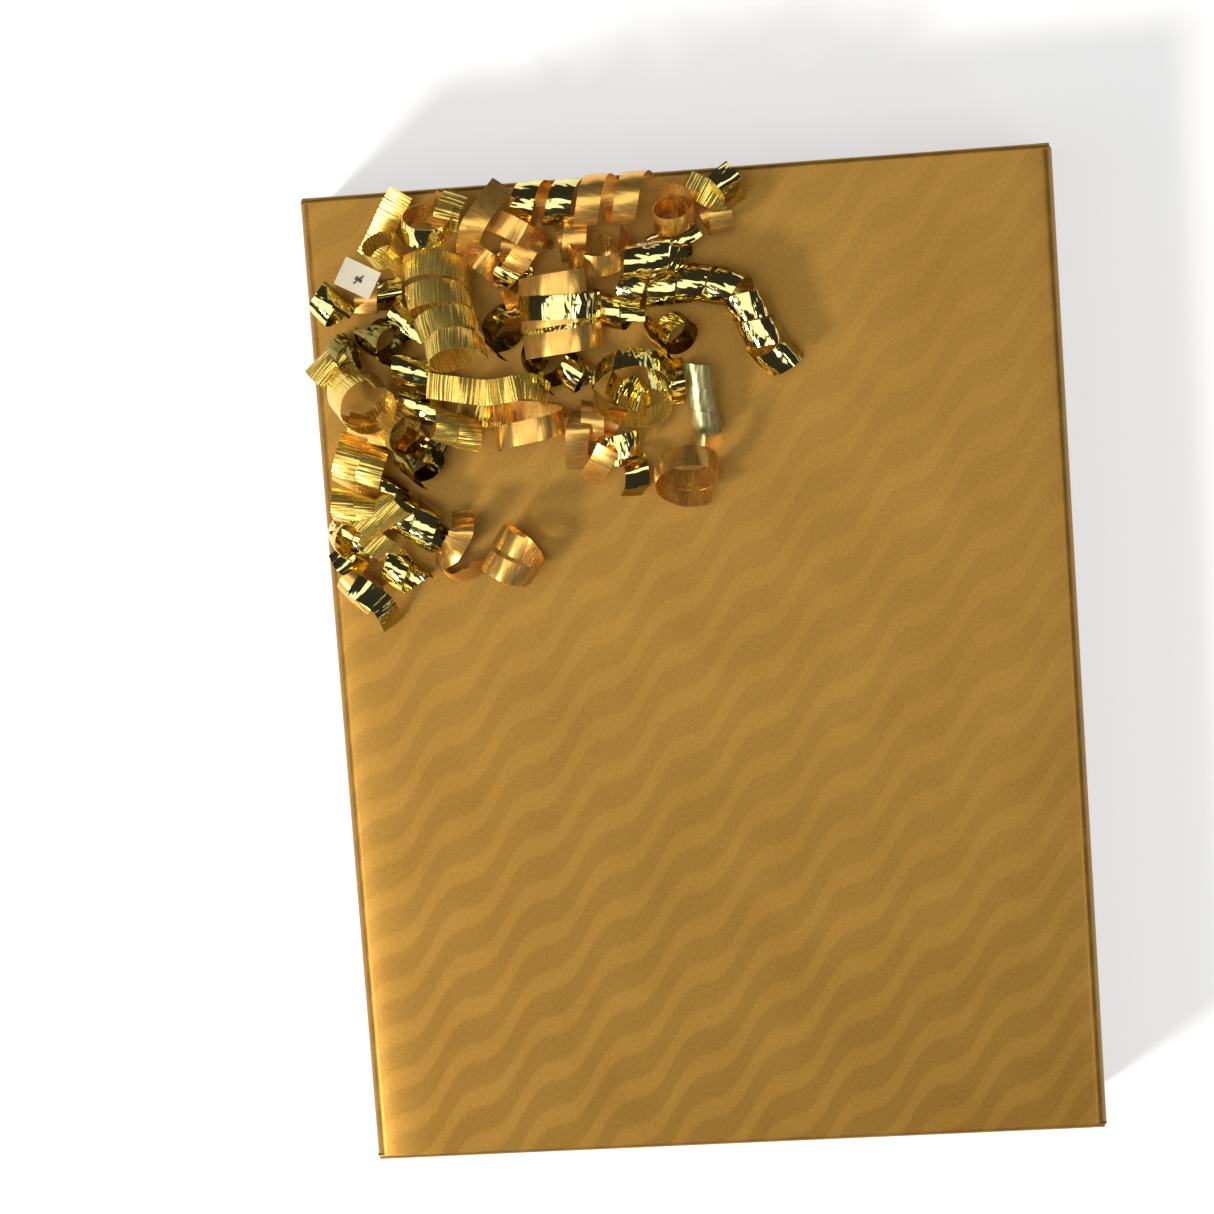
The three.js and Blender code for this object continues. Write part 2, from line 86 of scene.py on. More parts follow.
CARD_HALF = (5.25, 4.1)
CARD_THICKNESS = 0.35
CARD_BOW, CARD_BOW_FLAT = 0.012, 9     # it curls up as BOW * (x * x - FLAT)
CARD_TURN, CARD_TILT = -30, 12
STITCHES = [(62, 3.4), (-25, 2.2), (8, 2.0)]     # angle and length of each stitch
STITCH_HALF_WIDTH, STITCH_HEIGHT, STITCH_BOW, STITCH_THICKNESS = 0.22, 0.24, 0.14, 0.12
STITCH_OFFSET = (0.4, -0.3)  # of the stitches from the card's middle

KEY_COLOUR = (1, 0.96, 0.88)
WORLD_LIGHT, BACKDROP = 0.03, 0.95     # brightness of the world for the object and for the view
FLOOR_HALF, FLOOR_GLOW = 4, 0.6
CAMERA_LENS, CAMERA_SENSOR, CAMERA_NEAR = 96.7, 36, 0.05
CAMERA_PLACE = (0.0677, 0.1191, 0.9426)          # in metres
CAMERA_RIGHT = (0.9928, -0.0722, -0.0954)
CAMERA_UP = (0.0609, 0.9912, -0.1173)
CAMERA_BACK = (0.103, 0.1106, 0.9885)

# Heights are above the parcel's face. A curl winds round its axis from start degrees past the
# top; hand -1 winds the other way. A strip follows its path, and across is the direction of its
# width along the way. The first word of a name is the finish of the strand's outer side.
CURLS = [
    dict(name="foil_loop_top_left", radius=7, turns=1.1, start=140,
         axis=[[-66.5, 125.5, 14], [-65.5, 130, 18]]),
    dict(name="crimp_loop_by_card", radius=5.4, turns=1.25, width=6,
         axis=[[-78.5, 119, 7.5], [-80, 123.5, 13.5]]),
    dict(name="foil_twist_top", radius=4.4, turns=1.3, start=-120, hand=-1,
         axis=[[-49.5, 115, 5], [-43, 111, 5]]),
    dict(name="crimp_coil_large", radius=9.2, end_radius=8, turns=3.45, start=65, hand=-1,
         axis=[[-65.5, 115.5, 10], [-64.5, 106, 14], [-61.5, 97.5, 18], [-59.5, 90.5, 23]]),
    dict(name="foil_helix_top", radius=6.2, turns=1.6, start=80, hand=-1,
         axis=[[-42, 131.5, 8.5], [-25.5, 131, 9.5]]),
    dict(name="peach_helix_top", radius=7, turns=1.6, start=80, hand=-1,
         axis=[[-23.5, 131, 12.5], [-7, 131, 12.5]]),
    dict(name="peach_ring_top_large", radius=8.2, turns=1.15, start=90,
         axis=[[-21, 113.8, 9], [-20, 118.8, 12]]),
    dict(name="peach_ring_top_right", radius=5.6, turns=1.35, start=100,
         axis=[[0.5, 122.5, 8], [1, 128.5, 14]]),
    dict(name="peach_curl_top_right", radius=5.8, turns=0.8, start=-70, hand=-1,
         axis=[[9, 124.5, 7], [13.5, 125.5, 7]]),
    dict(name="foil_helix_right", radius=5.2, end_radius=5.4, turns=6.6, width=7.4, start=90,
         hand=-1,
         axis=[[-13.5, 107, 7], [-6.5, 106, 8], [6.5, 106.5, 9], [17, 103, 10], [21, 95, 9],
               [24, 88, 8], [28, 83.5, 6]]),
    dict(name="foil_bunch_centre", radius=4.4, turns=1.5, start=90, hand=-1,
         axis=[[-10.5, 114, 18.5], [-2.5, 114.5, 18.5]]),
    dict(name="peach_helix_centre", radius=11.3, end_radius=11, turns=2.3, start=-45,
         axis=[[-31.5, 110, 12.5], [-32, 92, 12.5]]),
    dict(name="peach_curl_zig", radius=9.6, turns=1.15, start=60,
         axis=[[-43, 76.5, 10], [-43, 67, 10]]),
    dict(name="foil_loop_centre", radius=11, turns=1.5, start=150,
         axis=[[-13.5, 83.5, 10.5], [-13.5, 76, 17.5]]),
    dict(name="olive_ring_centre", radius=5.9, turns=1.3,
         axis=[[-3.5, 95, 7], [0.5, 91.5, 12.5]]),
    dict(name="foil_tube_right", radius=4, turns=3.2, start=90, hand=-1,
         axis=[[4.5, 84, 12], [5, 74, 9], [6, 64, 5]]),
    dict(name="peach_loop_right", radius=8.8, turns=1.3, start=120,
         axis=[[-0.5, 58, 9], [-0.5, 52.5, 13]]),
    dict(name="foil_band_under_loop", radius=6.2, turns=0.9, start=-110,
         axis=[[-19, 65, 7.5], [-19, 60, 7.5]]),
    dict(name="foil_curl_left_of_loop", radius=4.4, turns=1.1, start=-60,
         axis=[[-31, 85.5, 5.5], [-27.5, 82, 5.5]]),
    dict(name="crimp_ring_left", radius=7.8, turns=2,
         axis=[[-91, 83, 8], [-86.5, 79, 16.5]]),
    dict(name="foil_curl_left_middle", radius=4.5, turns=1.7, start=-90,
         axis=[[-77, 79.5, 5.5], [-68.5, 76, 5.5]]),
    dict(name="olive_ring_left", radius=5.6, turns=1.4,
         axis=[[-84, 98.5, 6.5], [-79, 95.5, 13]]),
    dict(name="crimp_curl_middle", radius=4.6, turns=1.8, start=-90,
         axis=[[-68, 73.5, 16], [-58, 68.5, 9]]),
    dict(name="crimp_coil_left", radius=7, turns=1.7, start=-90,
         axis=[[-95.5, 65, 8], [-85, 59.5, 8]]),
    dict(name="olive_ring_lower", radius=5.8, turns=1.3,
         axis=[[-76, 64.5, 7], [-71.5, 61.5, 12.5]]),
    dict(name="foil_tangle_lower", radius=5.8, turns=1.8, start=-90,
         axis=[[-81.5, 49.5, 7], [-71, 42.5, 7]]),
    dict(name="crimp_curl_lower_left", radius=4.4, turns=1.4, start=-90,
         axis=[[-96.5, 52.5, 15], [-88, 49.5, 15]]),
    dict(name="crimp_ring_lower_left", radius=5.4, turns=1.5,
         axis=[[-97, 43.5, 4], [-95, 42.5, 10]]),
    dict(name="peach_curl_lower_right", radius=7.6, turns=1.2, start=-60,
         axis=[[-52, 31.5, 8.5], [-46.5, 39, 10]]),
    dict(name="foil_end_lower", radius=4.6, turns=1.1, start=-90,
         axis=[[-85, 34.5, 6], [-78.5, 29, 6]]),
    dict(name="peach_curl_lower_left", radius=4.6, turns=1.4, start=-90,
         axis=[[-97, 31.5, 5.5], [-92, 25.5, 5.5]]),
]
STRIPS = [
    dict(name="crimp_strip_top_left", across=[[0.9, -0.42, 0]],
         path=[[-74, 137, 7], [-77.5, 132, 5.5], [-82, 125, 2.5], [-85.5, 120, 1.2]]),
    dict(name="peach_strip_top",
         across=[[0.85, -0.5, 0], [0.85, -0.5, 0], [1, -0.2, 0], [1, 0, 0], [1, 0, 0]],
         path=[[-44.5, 137, 17.5], [-49, 131.5, 21], [-53, 126, 22], [-55, 121.5, 18],
               [-56, 119, 13]]),
    dict(name="peach_strip_right_of_top", across=[[0.5, 0.86, 0]],
         path=[[-49, 128, 15.5], [-44.5, 126, 17.5], [-40, 123, 16], [-37, 120.5, 11],
               [-36.5, 118, 5.5]]),
    dict(name="foil_end_top_right", across=[[0.85, 0.5, 0]],
         path=[[13.5, 137, 12], [16.5, 133.5, 15], [18, 130, 10], [17, 127, 4]]),
    dict(name="crimp_band_long", across=[[0, 1, 0]],
         path=[[-69.5, 84, 17], [-61, 82.5, 20], [-53.5, 81, 17], [-47, 81.5, 20],
               [-41.5, 82, 16], [-37, 79, 10]]),
    dict(name="peach_strip_down", across=[[1, 0, 0]],
         path=[[-28.5, 74, 8], [-29.5, 69, 12], [-30.5, 63.5, 10], [-31, 57.5, 4]]),
    dict(name="peach_strip_square", across=[[0.9, -0.45, 0]],
         path=[[-21, 63.5, 17], [-23.5, 59.5, 15], [-28, 54.5, 7]]),
    dict(name="foil_tip_centre", across=[[0.9, 0.3, 0]],
         path=[[-15.5, 60, 5], [-14.5, 56.5, 7], [-15, 52, 5], [-17, 49, 2]]),
    dict(name="foil_strip_by_card", across=[[1, 0.15, 0]],
         path=[[-79.5, 113.5, 6], [-79, 109.5, 9], [-80.5, 105, 4]]),
    dict(name="peach_loop_lower",
         across=[[1, 0, 0], [1, 0, 0], [0.9, -0.4, 0], [0.5, -0.5, 0.7], [0, 0.4, 1],
                 [0, 0.6, 1], [0, 0.6, 1]],
         path=[[-63.5, 48.5, 8], [-63.5, 43, 14], [-67.5, 37.5, 10], [-72, 33.5, 5],
               [-68.5, 29.5, 4], [-62.5, 31, 7], [-59.5, 34.5, 10]]),
    dict(name="foil_tip_lower", across=[[0.7, 0.7, 0]],
         path=[[-95, 30.5, 14], [-91.5, 28, 15], [-88, 24.5, 12], [-86.5, 20.5, 8],
               [-86.5, 17, 3]]),
]
# Strands that are only looks: they lie in the spray but have no node of their own in the CAD.
EXTRA_CURLS = [
    dict(name="foil_curl_left_upper", radius=4, turns=1.4, start=-90,
         axis=[[-77, 89, 12], [-71, 87, 12]]),
    dict(name="olive_ring_far_left", radius=4, turns=1.3, start=90,
         axis=[[-95, 96, 5.5], [-92, 93, 10]]),
    dict(name="foil_curl_far_left", radius=4.6, turns=1.2, start=-90,
         axis=[[-98.5, 109, 5.5], [-94.5, 104.5, 5.5]]),
    dict(name="olive_ring_under_helix", radius=6.6, turns=1.3,
         axis=[[-37.5, 89, 6], [-33.5, 85.5, 11]]),
    dict(name="peach_curl_under_top", radius=6.2, turns=1.2, start=-80, hand=-1,
         axis=[[-47, 120.5, 7.5], [-38, 116.5, 7]]),
    dict(name="foil_band_centre", radius=11.9, turns=0.42, start=-70,
         axis=[[-31.5, 104.5, 12.5], [-32, 101, 12.5]]),
    dict(name="foil_curl_top_right", radius=4.6, turns=1.3, start=-90,
         axis=[[-3.5, 116.5, 6], [5, 119, 6]]),
    # A dark olive ring set in the deep shade right of the crimped coil as painted shade: it darkens
    # that spot of paper beyond what the spray's shadow gives.
    dict(name="olive_ring_middle", radius=6.6, turns=1.2, start=40,
         axis=[[-51, 99, 6], [-47, 96, 9.5]]),
    dict(name="crimp_ring_middle_left", radius=6, turns=1.5, start=30,
         axis=[[-82, 74, 6], [-78, 71, 10]]),
    dict(name="crimp_curl_left_low", radius=4.4, turns=1.6, start=-90,
         axis=[[-90, 47, 15], [-81, 51.5, 15]]),
    dict(name="foil_curl_left_low", radius=4.4, turns=1.4, start=-90,
         axis=[[-99, 46, 5.5], [-91, 40, 5.5]]),
    dict(name="foil_curl_mid_low", radius=4.2, turns=1.3, start=-90,
         axis=[[-89, 57.5, 5], [-82, 53, 5]]),
    dict(name="peach_curl_behind_loop", radius=5.2, turns=1.1, start=-90,
         axis=[[-27, 71, 6], [-20, 69, 6]]),
    dict(name="crimp_curl_far_left", radius=4.6, turns=1.3, start=-90,
         axis=[[-99.5, 88.5, 5.5], [-95, 92, 6]]),
    dict(name="foil_curl_by_coil", radius=4.2, turns=1.3, start=-90,
         axis=[[-78, 103.5, 6], [-73, 98, 6]]),
    dict(name="foil_curl_right_of_helix", radius=4.4, turns=1.3, start=-90,
         axis=[[-21, 101, 5.5], [-12, 98.5, 5.5]]),
    dict(name="peach_curl_left_middle", radius=4.6, turns=1.3, start=-90,
         axis=[[-92, 72.5, 6], [-85, 69.5, 6]]),
    dict(name="peach_curl_top_centre", radius=6.4, turns=1.1, start=-60, hand=-1,
         axis=[[-31, 121, 7], [-25, 121, 7]]),
]
EXTRA_STRIPS = [
    dict(name="peach_strip_under_card", across=[[1, 0, 0]],
         path=[[-86.5, 112.5, 2], [-87, 108.5, 3], [-87.5, 104.5, 2]]),
    dict(name="foil_crumple_centre", across=[[0.3, 1, 0], [0.5, 0.8, 0.3], [0.2, 1, -0.3]],
         path=[[-20, 81.5, 14], [-16.5, 79, 20], [-14, 80, 15], [-11.5, 76.5, 20],
               [-9, 78, 15]]),
    dict(name="foil_strip_top_centre", across=[[0.6, 0.8, 0]],
         path=[[-6, 111.5, 13], [-2, 114, 16], [3, 112.5, 12]]),
    dict(name="crimp_strip_top_right", across=[[0.5, 0.85, 0]],
         path=[[4.5, 134, 8], [10, 131, 12], [15.5, 126.5, 6]]),
    dict(name="crimp_strip_left_of_top", across=[[1, -0.2, 0]],
         path=[[-57.5, 136, 14], [-60, 131, 18], [-61.5, 126, 17]]),
    dict(name="peach_strip_mid_top", across=[[0.6, 0.8, 0]],
         path=[[-58, 121, 8], [-52.5, 117, 12], [-47, 111, 5]]),
    dict(name="crimp_strip_left_low", across=[[0.8, 0.6, 0]],
         path=[[-91.5, 45, 9], [-88, 41, 12], [-84.5, 37.5, 9], [-82, 33, 3]]),
    dict(name="peach_strip_by_helix", across=[[0.9, 0.3, 0]],
         path=[[-46, 109, 6], [-43.5, 103, 12], [-46, 97, 5]]),
    dict(name="crimp_strip_under_band", across=[[0.2, 1, 0]],
         path=[[-63, 78, 4], [-56, 75, 9], [-49, 73, 4]]),
    dict(name="foil_strip_right_of_loop", across=[[1, 0.2, 0]],
         path=[[-3, 86, 6], [-1, 80, 12], [-3, 74, 6]]),
    dict(name="foil_strip_lower_left", across=[[0.8, 0.5, 0]],
         path=[[-99.5, 40, 8], [-97, 36, 11], [-93, 33, 8]]),
    dict(name="foil_strip_left_middle", across=[[0.5, 0.8, 0]],
         path=[[-79, 70, 6], [-73.5, 66.5, 10], [-68, 64, 5]]),
    dict(name="crimp_strip_by_coil", across=[[0.9, 0.3, 0]],
         path=[[-76, 85, 6], [-79, 80, 9], [-80, 75, 5]]),
]
# The finish of a strand's outer side, where its name does not say it.
OUTSIDE = {"olive_ring_centre": "foil", "foil_tube_right": "dull"}
# The finish of its inner side, where that is not the same as the outer one.
INSIDE = {
    "foil_loop_top_left": "peach", "foil_loop_centre": "crimp", "peach_ring_top_right": "peach",
    "foil_helix_top": "peach", "foil_helix_right": "crimp", "peach_helix_centre": "foil",
    "foil_tube_right": "olive", "olive_ring_centre": "olive", "foil_band_centre": "peach",
}


# ---------- arrays of points ----------
def unit(vectors):
    return vectors / np.linalg.norm(vectors, axis=-1, keepdims=True)


def lengths(line):
    """How far along a line of points each point is."""
    steps = np.linalg.norm(np.diff(line, axis=0), axis=1)
    return np.concatenate([[0], np.cumsum(steps)])


def arc(centre, radius, first, last, steps=FOLD_STEPS):
    """Points on an arc in a plane, from one angle to another in degrees."""
    angles = np.radians(np.linspace(first, last, steps + 1))
    return np.array(centre) + radius * np.stack([np.cos(angles), np.sin(angles)], -1)


def fill(line, step):
    """A line of points with more points put in wherever two are further apart than step."""
    parts = []
    for a, b in zip(line[:-1], line[1:]):
        count = max(1, math.ceil(np.linalg.norm(b - a) / step))
        parts.append(a + (b - a) * np.linspace(0, 1, count, endpoint=False)[:, None])
    return np.concatenate(parts + [line[-1:]])


def smooth_line(places, step):
    """An evenly spaced line through the given places, as a centripetal Catmull-Rom spline."""
    places = np.array(places, float)
    padded = np.concatenate([[2 * places[0] - places[1]], places, [2 * places[-1] - places[-2]]])
    t = np.linspace(0, 1, 40, endpoint=False)[:, None]
    parts = []
    for p0, p1, p2, p3 in zip(padded, padded[1:], padded[2:], padded[3:]):
        d0, d1, d2 = (max(np.linalg.norm(b - a) ** 0.5, 1e-4) for a, b in
                      ((p0, p1), (p1, p2), (p2, p3)))
        leave = d1 * ((p1 - p0) / d0 - (p2 - p0) / (d0 + d1) + (p2 - p1) / d1)
        arrive = d1 * ((p2 - p1) / d1 - (p3 - p1) / (d1 + d2) + (p3 - p2) / d2)
        parts.append(p1 + leave * t + (3 * (p2 - p1) - 2 * leave - arrive) * t ** 2
                     + (2 * (p1 - p2) + leave + arrive) * t ** 3)
    line = np.concatenate(parts + [places[-1:]])
    run = lengths(line)
    count = max(2, math.ceil(run[-1] / step)) + 1
    return spread(line, run, np.linspace(0, run[-1], count))


def spread(values, run, places):
    """Each column of values, given along run, read at the given places."""
    return np.stack([np.interp(places, run, values[:, k]) for k in range(values.shape[1])], -1)


def ripple(along, rng, size, waves=6):
    """A smooth random wander along a length, in steps of about size, between -1 and 1."""
    total = np.zeros_like(along, dtype=float)
    for _ in range(waves):
        total += np.sin(2 * math.pi * along / (size * rng.uniform(0.6, 1.8)) + rng.uniform(0, 6.3))
    return total / waves ** 0.5 / 1.5


# ---------- thin sheets ----------
def sheet(name, grid, uv, thickness, outer, inner, crease=40):
    """A thin solid round the middle surface grid[row, column], in mm. Its outer side is the one
    that row direction x column direction points to. uv, in mm, is stored for the materials."""
    rows, columns = grid.shape[:2]
    normal = unit(np.cross(np.gradient(grid, axis=0), np.gradient(grid, axis=1)))
    points = np.concatenate([(grid + normal * thickness / 2).reshape(-1, 3),
                             (grid - normal * thickness / 2).reshape(-1, 3)]) * MM
    number = np.arange(rows * columns).reshape(rows, columns)
    under = rows * columns
    top = np.stack([number[:-1, :-1], number[1:, :-1], number[1:, 1:], number[:-1, 1:]], -1)
    top = top.reshape(-1, 4)
    edge = np.concatenate([number[:, 0], number[-1, 1:], number[-2::-1, -1], number[0, -2::-1]])
    a, b = edge[:-1], edge[1:]
    faces = np.concatenate([top, top[:, ::-1] + under, np.stack([b, a, a + under, b + under], -1)])
    mesh = bpy.data.meshes.new(name)
    mesh.from_pydata(points.tolist(), [], faces.tolist())
    both = np.concatenate([uv.reshape(-1, 2)] * 2)
    layer = mesh.uv_layers.new(name="sheet")
    corners = np.empty(len(mesh.loops), np.int32)
    mesh.loops.foreach_get("vertex_index", corners)
    layer.data.foreach_set("uv", both[corners].astype(np.float32).ravel())
    index = np.ones(len(faces), np.int32)
    index[:len(top)] = 0
    mesh.materials.append(outer)
    mesh.materials.append(inner)
    mesh.polygons.foreach_set("material_index", index)
    mesh.polygons.foreach_set("use_smooth", np.ones(len(faces), bool))
    mesh.set_sharp_from_angle(angle=math.radians(crease))
    mesh.update()
    obj = bpy.data.objects.new(name, mesh)
    bpy.context.scene.collection.objects.link(obj)
    return obj


# ---------- materials ----------
class Finish:
    """A principled material, whose nodes are added one by one."""

    def __init__(self, name, **values):
        self.material = bpy.data.materials.new(name)
        self.material.use_nodes = True
        self.tree = self.material.node_tree
        self.shader = self.tree.nodes["Principled BSDF"]
        self.set(self.shader, {key.replace("_", " "): value for key, value in values.items()})

    def set(self, node, inputs):
        for key, value in inputs.items():
            if isinstance(value, bpy.types.NodeSocket):
                self.tree.links.new(value, node.inputs[key])
            else:
                node.inputs[key].default_value = value

    def add(self, kind, inputs, output=0, **settings):
        node = self.tree.nodes.new("ShaderNode" + kind)
        for key, value in settings.items():
            setattr(node, key, value)
        self.set(node, inputs)
        return node.outputs[output]

    def maths(self, operation, *values):
        return self.add("Math", dict(enumerate(values)), operation=operation)

    def sheet_place(self):
        """The two sheet coordinates, in mm."""
        uv = self.add("UVMap", {}, uv_map="sheet")
        split = self.tree.nodes.new("ShaderNodeSeparateXYZ")
        self.set(split, {0: uv})
        return split.outputs[0], split.outputs[1]

    def noise(self, place, scale, detail=2, **inputs):
        return self.add("TexNoise", {"Vector": place, "Scale": scale, "Detail": detail, **inputs})

    def mix(self, factor, a, b):
        node = self.tree.nodes.new("ShaderNodeMix")
        node.data_type = "RGBA"
        self.set(node, {0: factor, 6: (*a, 1) if isinstance(a, tuple) else a,
                        7: (*b, 1) if isinstance(b, tuple) else b})
        return node.outputs[2]

    def spread(self, value, low, high, to_low, to_high, smooth=False):
        return self.add("MapRange", {"Value": value, "From Min": low, "From Max": high,
                                     "To Min": to_low, "To Max": to_high},
                        interpolation_type="SMOOTHSTEP" if smooth else "LINEAR")

    def bump(self, height, distance, strength=1, under=None):
        inputs = {"Height": height, "Distance": distance, "Strength": strength}
        if under is not None:
            inputs["Normal"] = under
        return self.add("Bump", inputs)


WAVE_PITCH = 13.07           # of the paper's printed waves, up the sheet
WAVE_SLOPE = 0.892           # how steeply they climb to the right
WAVE_PERIOD = 22.07          # of their swing, across the sheet
WAVE_SWING = 2.49
WAVE_START, WAVE_SHIFT = 4.874, -0.741       # phase of the swing in radians, of the waves in turns
ROLL_START, ROLL_END = 70, 104   # from here to the long folds the face rolls off softly
ROLL_DEPTH = 0.0014              # in metres


def wave_bands(finish, u, v):
    """The printed bands: 1 in a light band, 0 between, with soft edges."""
    turn = finish.maths("MULTIPLY_ADD", u, 2 * math.pi / WAVE_PERIOD, WAVE_START)
    swing = finish.maths("MULTIPLY", finish.maths("SINE", turn), WAVE_SWING)
    climb = finish.maths("MULTIPLY_ADD", u, WAVE_SLOPE, swing)
    rest = finish.maths("SUBTRACT", v, climb)
    phase = finish.maths("MULTIPLY_ADD", rest, 2 * math.pi / WAVE_PITCH,
                         WAVE_SHIFT * 2 * math.pi)
    return finish.spread(finish.maths("COSINE", phase), -0.15, 0.55, 0, 1, smooth=True)


def gold_paper():
    """The printed side of the paper: metallic, with bands that differ mostly in tone."""
    f = Finish("gold_paper", Metallic=0.6, Specular_IOR_Level=0.3)
    u, v = f.sheet_place()
    place = f.add("CombineXYZ", {0: u, 1: v})
    bands = wave_bands(f, u, v)
    grain = f.noise(place, 1.1, 3, Roughness=0.65)
    blotch = f.noise(place, 0.035, 2)
    shade = f.maths("ADD", f.maths("MULTIPLY", grain, 0.62), f.maths("MULTIPLY", blotch, 0.38))
    shade = f.spread(shade, 0.34, 0.66, 0, 1)
    plain = f.mix(shade, (0.305, 0.153, 0.0215), (0.395, 0.21, 0.0355))
    light = f.mix(shade, (0.34, 0.172, 0.025), (0.438, 0.235, 0.041))
    rough = f.spread(bands, 0, 1, 0.37, 0.41)
    flake = f.noise(place, 2.6, 2)
    near_fold = f.spread(f.maths("ABSOLUTE", u), ROLL_START, ROLL_END, 0, 1)
    roll = f.maths("MULTIPLY", f.maths("POWER", near_fold, 4), -1)
    f.set(f.shader, {"Base Color": f.mix(bands, plain, light), "Roughness": rough,
                     "Normal": f.bump(flake, 0.00006, 0.35, f.bump(roll, ROLL_DEPTH))})
    return f.material


def paper_back():
    """The plain pale side of the paper."""
    f = Finish("paper_back", Roughness=0.9)
    u, v = f.sheet_place()
    place = f.add("CombineXYZ", {0: u, 1: v})
    tone = f.noise(place, 0.9, 4)
    f.set(f.shader, {"Base Color": f.mix(tone, (0.76, 0.74, 0.68), (0.86, 0.84, 0.79)),
                     "Normal": f.bump(tone, 0.00005, 0.4)})
    return f.material


def ribbon_finish(name, dark, light, rough, lines, line_depth, wrinkle, metallic=1):
    """Metallised ribbon. lines is how many fine cross lines there are per mm, line_depth their
    depth in mm, and wrinkle the depth of its slow creases."""
    f = Finish(name, Metallic=metallic, Specular_IOR_Level=0.2)
    u, v = f.sheet_place()
    across = f.add("CombineXYZ", {0: f.maths("MULTIPLY", u, lines),
                                  1: f.maths("MULTIPLY", v, 0.06 * lines)})
    line = f.noise(across, 1, 3, Roughness=0.6)
    slow = f.noise(f.add("CombineXYZ", {0: f.maths("MULTIPLY", u, 0.5),
                                        1: f.maths("MULTIPLY", v, 0.22)}), 1, 1)
    tone = f.spread(f.maths("ADD", f.maths("MULTIPLY", line, 0.7), f.maths("MULTIPLY", slow, 0.3)),
                    0.36, 0.64, 0, 1)
    creased = f.bump(slow, wrinkle * MM)
    f.set(f.shader, {"Base Color": f.mix(tone, dark, light),
                     "Roughness": f.spread(line, 0.3, 0.7, rough * 0.8, rough * 1.25),
                     "Normal": f.bump(line, line_depth * MM, 1, creased)})
    return f.material


def speckled(name, low, high, rough, scale, bump, **values):
    """A matt material with a fine grain, for pieces without sheet coordinates."""
    f = Finish(name, **values)
    place = f.add("TexCoord", {}, output=3)
    grain = f.noise(place, scale, 4)
    f.set(f.shader, {"Base Color": f.mix(grain, low, high), "Roughness": rough,
                     "Normal": f.bump(grain, bump * MM, 0.6)})
    return f.material


GOLD = gold_paper()
BACK = paper_back()
RIBBON_FINISH = dict(
    foil=ribbon_finish("foil_ribbon", (0.8, 0.66, 0.2), (0.98, 0.87, 0.4),
                       0.09, 1.2, 0.006, 0.4),
    peach=ribbon_finish("peach_ribbon", (0.86, 0.45, 0.09), (1, 0.6, 0.16),
                        0.28, 3, 0.014, 0.1, 0.85),
    crimp=ribbon_finish("crimped_ribbon", (0.76, 0.5, 0.07), (1, 0.74, 0.19),
                        0.24, 1.9, 0.035, 0.12, 0.8),
    olive=ribbon_finish("olive_ribbon", (0.16, 0.12, 0.02), (0.36, 0.29, 0.07),
                        0.12, 1.2, 0.01, 0.3),
    dull=ribbon_finish("dull_ribbon", (0.4, 0.35, 0.13), (0.66, 0.6, 0.3),
                       0.36, 1.4, 0.02, 0.15, 0.8),
)


# ---------- the paper ----------
def sleeve_section():
    """The middle line of the sheet round the box, in X and Z, and its sheet coordinate u."""
    radius = FOLD_RADIUS - PAPER / 2
    cx, top = WIDTH / 2 - FOLD_RADIUS, DEPTH - FOLD_RADIUS
    line = np.concatenate([
        [[SEAM_INNER_END, LAYER + PAPER / 2]],
        arc((cx, LAYER + FOLD_RADIUS), radius, -90, 0),
        arc((cx, top), radius, 0, 90),
        arc((-cx, top), radius, 90, 180),
        arc((-cx, FOLD_RADIUS), radius, 180, 270),
        [[SEAM_OUTER_END, PAPER / 2]],
    ])
    line = fill(line, PAPER_STEP)
    run = lengths(line)
    over = line[:, 1] > DEPTH / 2
    middle = np.interp(0, line[over][::-1, 0], run[over][::-1])
    return line, middle - run


def paper_sleeve():
    """The sheet round the box, with a slight swell in its face."""
    line, u = sleeve_section()
    y = np.linspace(SLEEVE_END, -SLEEVE_END, 2 * SLEEVE_END // PAPER_STEP + 1)
    x, z = line[:, :1], line[:, 1:]
    shape = (len(line), len(y))
    grid = np.stack([np.broadcast_to(x, shape), np.broadcast_to(y, shape),
                     np.broadcast_to(z, shape)], -1).copy()
    calm = np.clip((SLEEVE_END - np.abs(y)) / SWELL_END_FADE, 0, 1)
    swell = (np.sin(x / 17 + y / 31) + np.sin(x / 29 - y / 19 + 1.3)) * calm
    on_face = np.clip((z - (DEPTH - PAPER)) / (PAPER / 4), 0, 1)
    on_face = on_face * np.clip((WIDTH / 2 - FOLD_RADIUS - np.abs(x)) / SWELL_SIDE_FADE, 0, 1)
    grid[..., 2] += SWELL * swell * on_face
    uv = np.stack([np.broadcast_to(u[:, None], shape), np.broadcast_to(y, shape)], -1)
    obj = sheet("paper_sleeve", grid, uv, PAPER, GOLD, BACK)
    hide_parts("wrap_sleeve")
    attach(obj, "parcel")


def flap_grid(profile, reach, along_z):
    """Rows of points down a flap's profile (y, z), each as wide as its 45 degree sides allow.
    reach is how far past the fold line a row is. along_z is 1 on the face side, -1 below."""
    rows = []
    for (y, z), out in zip(profile, reach):
        half = FLAP_HALF_WIDTH - max(out, 0)
        x = np.linspace(-half, half, FLAP_COLUMNS)
        drop = FOLD_RADIUS - np.sqrt(FOLD_RADIUS ** 2
                                     - np.clip(np.abs(x) - WIDTH / 2 + FOLD_RADIUS, 0, None) ** 2)
        fade = np.clip(1 + out / CORNER_FADE, 0, 1) if out < 0 else 0
        rows.append(np.stack([x, np.full_like(x, y), z - along_z * drop * fade], -1))
    return np.array(rows)


